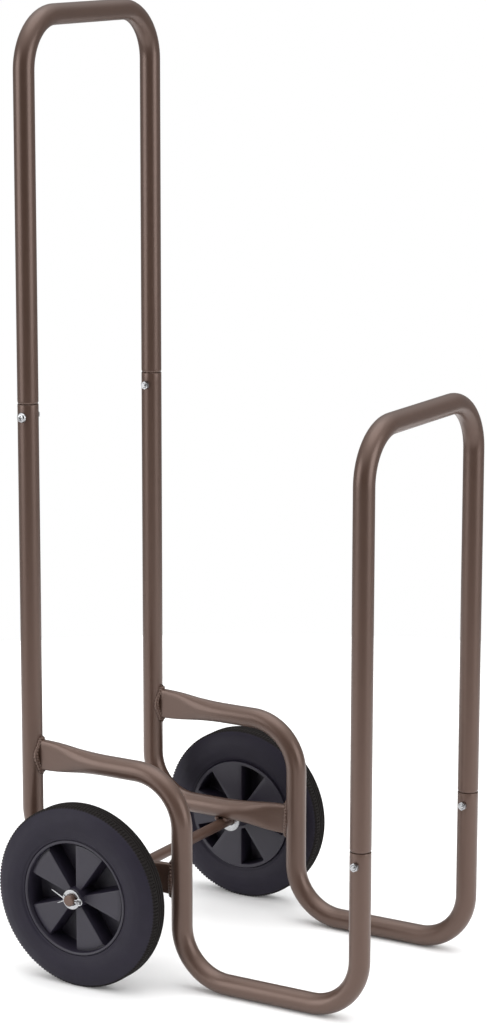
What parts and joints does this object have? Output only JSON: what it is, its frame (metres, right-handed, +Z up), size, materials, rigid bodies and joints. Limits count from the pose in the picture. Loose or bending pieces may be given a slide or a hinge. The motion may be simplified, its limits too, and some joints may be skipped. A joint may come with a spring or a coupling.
{
  "type": "firewood log rack",
  "caption": "Wheeled firewood rack: bent-tube side frames with raised push handle and front hoop, stepped log shelves, and wheels on a welded axle.",
  "frame": {"origin": "on the floor, at the middle of the bounding box's base", "axes": "+Z up, +X towards the low front, +Y to the left side; wheels are at the back, under the push handle"},
  "size_m": [0.418, 0.385, 1.006],
  "materials": {
    "frame_paint": "semi-matt bronze-brown powder coat",
    "tyre_rubber": "smooth slate-black moulded rubber, ribbed tread",
    "wheel_plastic": "fine-textured black moulded plastic",
    "zinc_plate": "bright zinc plating"
  },
  "bodies": {
    "frame": {"handle_hoop": "frame_paint", "front_hoop": "frame_paint", "rear_post_right": "frame_paint", "rear_post_left": "frame_paint", "side_rail_right": "frame_paint", "side_rail_left": "frame_paint", "axle": "frame_paint", "outer_washer_right": "zinc_plate", "outer_washer_left": "zinc_plate", "inner_washer_right": "zinc_plate", "inner_washer_left": "zinc_plate", "split_pin_right": "zinc_plate", "split_pin_left": "zinc_plate", "screw_rear_right": "zinc_plate", "screw_rear_left": "zinc_plate", "screw_front_right": "zinc_plate", "screw_front_left": "zinc_plate", "nut_rear_right": "zinc_plate", "nut_rear_left": "zinc_plate", "nut_front_right": "zinc_plate", "nut_front_left": "zinc_plate"},
    "wheel_right": {"tyre_right": "tyre_rubber", "rim_right": "wheel_plastic"},
    "wheel_left": {"tyre_left": "tyre_rubber", "rim_left": "wheel_plastic"}
  },
  "joints": [
    {"name": "wheel_right_spin", "type": "hinge", "parent": "frame", "child": "wheel_right", "pos_m": [-0.105, -0.168, 0.097], "axis": [0, 1, 0], "continuous": true},
    {"name": "wheel_left_spin", "type": "hinge", "parent": "frame", "child": "wheel_left", "pos_m": [-0.105, 0.168, 0.097], "axis": [0, 1, 0], "continuous": true}
  ]
}
